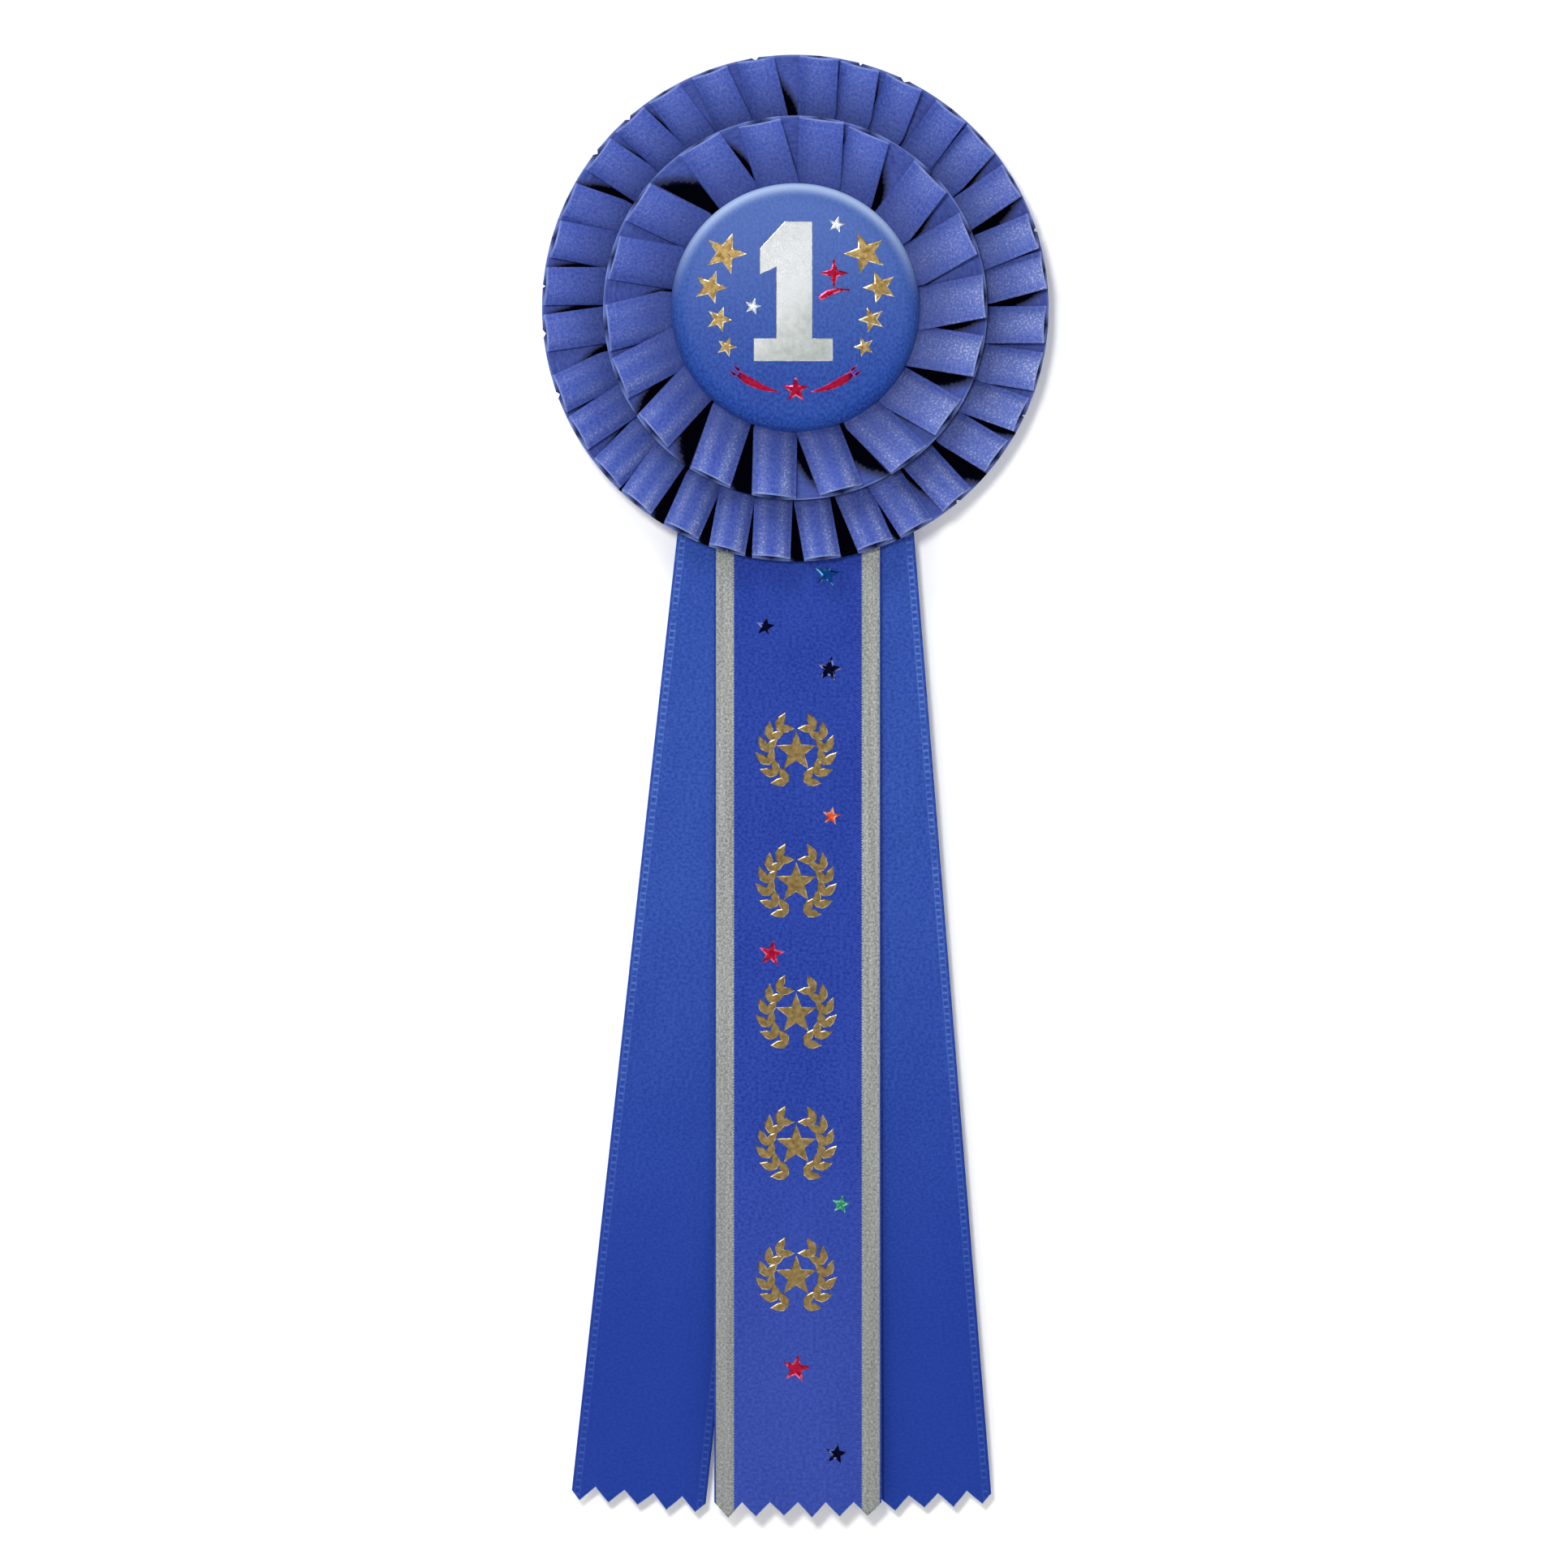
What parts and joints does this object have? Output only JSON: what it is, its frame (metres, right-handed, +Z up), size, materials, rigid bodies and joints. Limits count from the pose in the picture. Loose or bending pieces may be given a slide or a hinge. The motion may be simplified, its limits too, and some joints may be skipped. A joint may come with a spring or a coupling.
{
  "type": "award rosette",
  "caption": "Round two-tier pleated satin rosette with a foil-printed button, three pinked streamers and a bar pin behind, worn or hung as an award.",
  "frame": {"origin": "on the rosette's axis, on the rear face of its rear card", "axes": "+Z up along the hanging streamers, -Y towards the front of the rosette, +X to the right as seen from the front"},
  "size_m": [0.1154, 0.021, 0.3358],
  "materials": {
    "pleat_satin": "royal blue satin ribbon with a fine weave",
    "button_satin": "royal blue satin stretched over the button",
    "centre_satin": "royal blue satin ribbon with a woven silver band near each edge",
    "side_satin": "royal blue satin ribbon with a woven edge line",
    "gold_foil": "hot-stamped gold foil",
    "silver_foil": "hot-stamped silver foil",
    "red_foil": "hot-stamped red foil",
    "navy_foil": "hot-stamped navy foil",
    "cyan_foil": "hot-stamped cyan foil",
    "orange_foil": "hot-stamped orange foil",
    "green_foil": "hot-stamped green foil",
    "card": "white card, matt",
    "glue": "hot-melt glue",
    "thread": "white polyester thread",
    "tinplate": "pressed tinplate",
    "nickel": "nickel-plated steel",
    "foam_tape": "white double-sided foam tape"
  },
  "bodies": {
    "rosette": {"rear_card": "card", "front_card": "card", "inner_card": "card", "glue_pad": "glue", "staples": "nickel", "outer_pleats": "pleat_satin", "inner_pleats": "pleat_satin", "outer_gathering_thread": "thread", "inner_gathering_thread": "thread", "button_back": "tinplate", "button_shell": "tinplate", "button_cover": "button_satin", "numeral": "silver_foil", "numeral_ornament": "red_foil", "button_gold_stars": "gold_foil", "button_silver_stars": "silver_foil", "button_red_star": "red_foil", "button_red_trails": "red_foil", "centre_streamer_head": "centre_satin", "left_streamer_head": "side_satin", "right_streamer_head": "side_satin", "pin_pad": "foam_tape", "pin_base": "nickel", "pin_rivet": "nickel", "pin_catch": "nickel"},
    "centre_tail": {"centre_streamer": "centre_satin", "gold_wreaths": "gold_foil", "streamer_red_stars": "red_foil", "streamer_navy_stars": "navy_foil", "streamer_cyan_star": "cyan_foil", "streamer_orange_star": "orange_foil", "streamer_green_star": "green_foil"},
    "left_tail": {"left_streamer": "side_satin"},
    "right_tail": {"right_streamer": "side_satin"},
    "needle": {"pin_needle": "nickel"},
    "roller": {"pin_roller": "nickel"}
  },
  "joints": [
    {"name": "centre_streamer_fold", "type": "hinge", "parent": "rosette", "child": "centre_tail", "pos_m": [0.0006, -0.00225, -0.0595], "axis": [-1, 0, 0], "range_deg": [0, 85]},
    {"name": "left_streamer_fold", "type": "hinge", "parent": "rosette", "child": "left_tail", "pos_m": [-0.0124, -0.00185, -0.0595], "axis": [0.994, 0, -0.1097], "range_deg": [0, 60]},
    {"name": "right_streamer_fold", "type": "hinge", "parent": "rosette", "child": "right_tail", "pos_m": [0.0124, -0.00145, -0.0595], "axis": [0.9968, 0, 0.0802], "range_deg": [0, 60]},
    {"name": "needle_pivot", "type": "hinge", "parent": "rosette", "child": "needle", "pos_m": [-0.0097, 0.0038, 0.018], "axis": [0, 0, 1], "range_deg": [0, 60]},
    {"name": "roller_turn", "type": "hinge", "parent": "rosette", "child": "roller", "pos_m": [0.008, 0.0038, 0.018], "axis": [1, 0, 0], "range_deg": [0, 110]}
  ]
}
